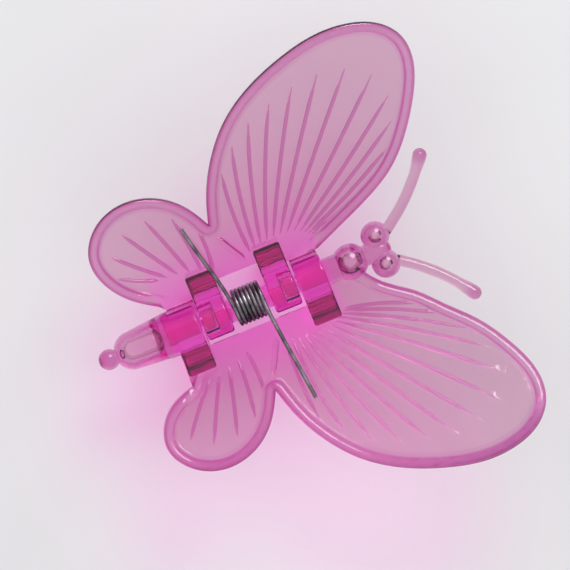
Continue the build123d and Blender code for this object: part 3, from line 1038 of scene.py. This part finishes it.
def mixed(tree, amount, colour):
    """A mix that adds a colour by an amount to the one that its socket A gets."""
    mix = tree.nodes.new("ShaderNodeMix")
    mix.data_type = "RGBA"
    tree.links.new(amount, mix.inputs["Factor"])
    mix.inputs["B"].default_value = colour
    return mix


# %% The clear pink plastic
plastic, tree, shader, output, place = new_material("clear_pink_plastic")
axes = tree.nodes.new("ShaderNodeSeparateXYZ")
tree.links.new(place, axes.inputs["Vector"])
# Painted light: the tone goes pinker near the hinge and fades outwards along X and Y.
near_hinge = tree.nodes.new("ShaderNodeMath")
near_hinge.operation = "MULTIPLY"
for i, (axis, reach) in enumerate(PAINTED_HINGE_LIGHT_REACH.items()):
    tree.links.new(fade_out(tree, axes.outputs[axis], *reach), near_hinge.inputs[i])
pinker = mixed(tree, near_hinge.outputs["Value"], PAINTED_HINGE_LIGHT)
pinker.inputs["A"].default_value = PALE_TONE
# Painted shade: the marked corners go towards the deep tone.
painted_shade_mark = tree.nodes.new("ShaderNodeAttribute")
painted_shade_mark.attribute_name = PAINTED_SHADE_ATTRIBUTE
deeper = mixed(tree, painted_shade_mark.outputs["Fac"], PAINTED_SHADE_TONE)
tree.links.new(pinker.outputs["Result"], deeper.inputs["A"])
tree.links.new(deeper.outputs["Result"], shader.inputs["Base Color"])
shader.inputs["Transmission Weight"].default_value = 1.0
shader.inputs["IOR"].default_value = 1.57
haze = patches(tree, place, scale=380, detail=4, low=0.03, high=0.12)
tree.links.new(haze, shader.inputs["Roughness"])
ripple = patches(tree, place, scale=650, detail=2, low=0.0, high=1.0)
bump(tree, shader, ripple, strength=0.12, distance=0.00008)
volume = tree.nodes.new("ShaderNodeVolumeAbsorption")
volume.inputs["Color"].default_value = INSIDE_COLOUR
volume.inputs["Density"].default_value = INSIDE_DENSITY
tree.links.new(volume.outputs["Volume"], output.inputs["Volume"])
print("the plastic has", len(tree.nodes), "nodes")

# %% What shadow rays meet
let_through = tree.nodes.new("ShaderNodeBsdfTransparent")
let_through.inputs["Color"].default_value = SHADOW_TONE
ray = tree.nodes.new("ShaderNodeLightPath")
either = tree.nodes.new("ShaderNodeMixShader")
tree.links.new(ray.outputs["Is Shadow Ray"], either.inputs["Fac"])
tree.links.new(shader.outputs["BSDF"], either.inputs[1])
tree.links.new(let_through.outputs["BSDF"], either.inputs[2])
tree.links.new(either.outputs["Shader"], output.inputs["Surface"])
for half in (right_half, left_half):
    half.data.materials.clear()
    half.data.materials.append(plastic)
print("plastic on", right_half.name, "and", left_half.name)


# %% [markdown]
# Spring wire is hard-drawn steel with a dark oxide skin. It shines, but its highlights
# are broken by patches where the skin has rubbed thin over the turns.

# %% The spring steel
OXIDE_TONE = (0.10, 0.09, 0.10, 1)
RUBBED_TONE = (0.36, 0.33, 0.36, 1)
steel, tree, shader, output, place = new_material("spring_steel_wire")
shader.inputs["Metallic"].default_value = 1.0
gloss = patches(tree, place, scale=2600, detail=4, low=0.22, high=0.42)
tree.links.new(gloss, shader.inputs["Roughness"])
rubbed = patches(tree, place, scale=1100, detail=3, low=0.0, high=1.0)
tree.links.new(two_tones(tree, rubbed, OXIDE_TONE, RUBBED_TONE), shader.inputs["Base Color"])
drawn = patches(tree, place, scale=4200, detail=2, low=0.0, high=1.0)
bump(tree, shader, drawn, strength=0.3, distance=0.00002)
spring.data.materials.clear()
spring.data.materials.append(steel)
print("materials", [m.name for m in bpy.data.materials if m.users])


# %% [markdown]
# The clip stands on its claws on a plain pale floor. A single big pane is easy to make
# with a grid. It lies a hair below the claws' feet, so that clear plastic and floor
# never share one plane. Seen from above, its colour is the background's colour.

# %% The floor
FLOOR_REACH = 600
FLOOR_GAP = 0.01
FLOOR_TONES = [(0.80, 0.80, 0.81, 1), (0.84, 0.84, 0.85, 1)]
bm = bmesh.new()
bmesh.ops.create_grid(bm, x_segments=1, y_segments=1, size=FLOOR_REACH)
bmesh.ops.translate(bm, verts=bm.verts, vec=(0, 0, FOOT - FLOOR_GAP))
floor = shape("floor", bm)
floor.data.transform(Matrix.Scale(MM, 4))
pale, tree, shader, output, place = new_material("pale_floor")
shader.inputs["Roughness"].default_value = 0.6
clouds = patches(tree, place, scale=30, detail=2, low=0.0, high=1.0)
tree.links.new(two_tones(tree, clouds, *FLOOR_TONES), shader.inputs["Base Color"])
floor.data.materials.append(pale)
print("the floor lies", FOOT - FLOOR_GAP, "mm from the middle of the stem")


# %% [markdown]
# The light is that of a bright room: a pale world from all sides and one large soft
# lamp, so that edges and balls get a clear highlight and the floor a soft shadow.

# %% The world
LOW_SKY = (0.42, 0.42, 0.43, 1)
HIGH_SKY = (0.86, 0.86, 0.87, 1)
HIGH_SKY_FROM = 0.75
SKY_STRENGTH = 0.8
world = bpy.data.worlds.new("room")
bpy.context.scene.world = world
world.use_nodes = True
sky = world.node_tree
direction = sky.nodes.new("ShaderNodeTexCoord").outputs["Generated"]
height = sky.nodes.new("ShaderNodeSeparateXYZ")
sky.links.new(direction, height.inputs["Vector"])
shade = two_tones(sky, height.outputs["Z"], LOW_SKY, HIGH_SKY)
shade.node.color_ramp.elements[1].position = HIGH_SKY_FROM
sky.links.new(shade, sky.nodes["Background"].inputs["Color"])
sky.nodes["Background"].inputs["Strength"].default_value = SKY_STRENGTH
print("world", world.name)


# %% The lamp
def lamp(name, place, size, power):
    """A square soft lamp that points at the clip."""
    data = bpy.data.lights.new(name, "AREA")
    data.shape = "SQUARE"
    data.size = size
    data.energy = power
    made = bpy.data.objects.new(name, data)
    made.location = place
    made.rotation_euler = (-Vector(place)).to_track_quat("-Z", "Y").to_euler()
    bpy.context.scene.collection.objects.link(made)
    return made


window = lamp("window", place=(-0.26, 0.20, 0.30), size=0.22, power=1.1)
print("the lamp hangs", round(window.location.length, 2), "m from the clip")


# %% [markdown]
# The photograph looks down on the clip, with its head to the right and its left wing
# at the top. The camera stands a few degrees towards the left wing, as there, so that
# wing looks a little narrower. A long lens from about a third of a metre keeps the
# perspective as gentle as it is in the photograph.

# %% The camera
VIEW_TURN = math.radians(68)
VIEW_LEAN = math.radians(5)
CAMERA_DISTANCE = 0.35
FIELD = 0.051
SENSOR_WIDTH = 36
AIM = Vector((-0.0002, 0.0036, 0.0045))
back = Vector((-math.sin(VIEW_LEAN), 0, math.cos(VIEW_LEAN)))
up = Vector((-math.sin(VIEW_TURN), math.cos(VIEW_TURN), 0))
right = up.cross(back).normalized()
up = back.cross(right)
data = bpy.data.cameras.new("camera")
data.sensor_width = SENSOR_WIDTH
data.lens = SENSOR_WIDTH * CAMERA_DISTANCE / FIELD
data.clip_start = 0.01
camera = bpy.data.objects.new("camera", data)
turn = Matrix((right, up, back)).transposed().to_4x4()
camera.matrix_world = Matrix.Translation(AIM + back * CAMERA_DISTANCE) @ turn
bpy.context.scene.collection.objects.link(camera)
bpy.context.scene.camera = camera
bpy.context.scene.view_settings.view_transform = "Standard"
print("the lens is", round(data.lens), "mm")
